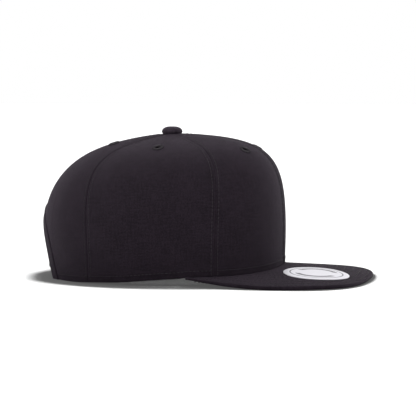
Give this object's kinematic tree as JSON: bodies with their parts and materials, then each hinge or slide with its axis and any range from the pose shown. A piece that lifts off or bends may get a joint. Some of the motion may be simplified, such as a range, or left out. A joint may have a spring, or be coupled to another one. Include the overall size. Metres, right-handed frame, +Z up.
{
  "type": "snapback cap",
  "caption": "Six-panel cap with a structured front, flat visor, arched back opening and plastic snap strap.",
  "frame": {"origin": "under the middle of the cap's box, on the floor that it rests on", "axes": "+X out over the visor, +Y to the wearer's left, +Z up"},
  "size_m": [0.2696, 0.176, 0.1224],
  "materials": {
    "crown_cloth": "matt black twill",
    "visor_cloth": "matt black twill",
    "thread": "black embroidery thread",
    "strap_plastic": "satin moulded plastic",
    "sticker_foil": "satin silver foil"
  },
  "bodies": {
    "root": {"front_panel_left": "crown_cloth", "front_panel_right": "crown_cloth", "side_panel_left": "crown_cloth", "side_panel_right": "crown_cloth", "back_panel_left": "crown_cloth", "back_panel_right": "crown_cloth", "crown_button": "crown_cloth", "front_eyelet_left": "thread", "front_eyelet_right": "thread", "side_eyelet_left": "thread", "side_eyelet_right": "thread", "back_eyelet_left": "thread", "back_eyelet_right": "thread", "visor": "visor_cloth", "visor_sticker": "sticker_foil", "opening_binding": "crown_cloth", "sweatband": "crown_cloth", "snap_strap_left": "strap_plastic", "snap_strap_right": "strap_plastic"}
  },
  "joints": []
}
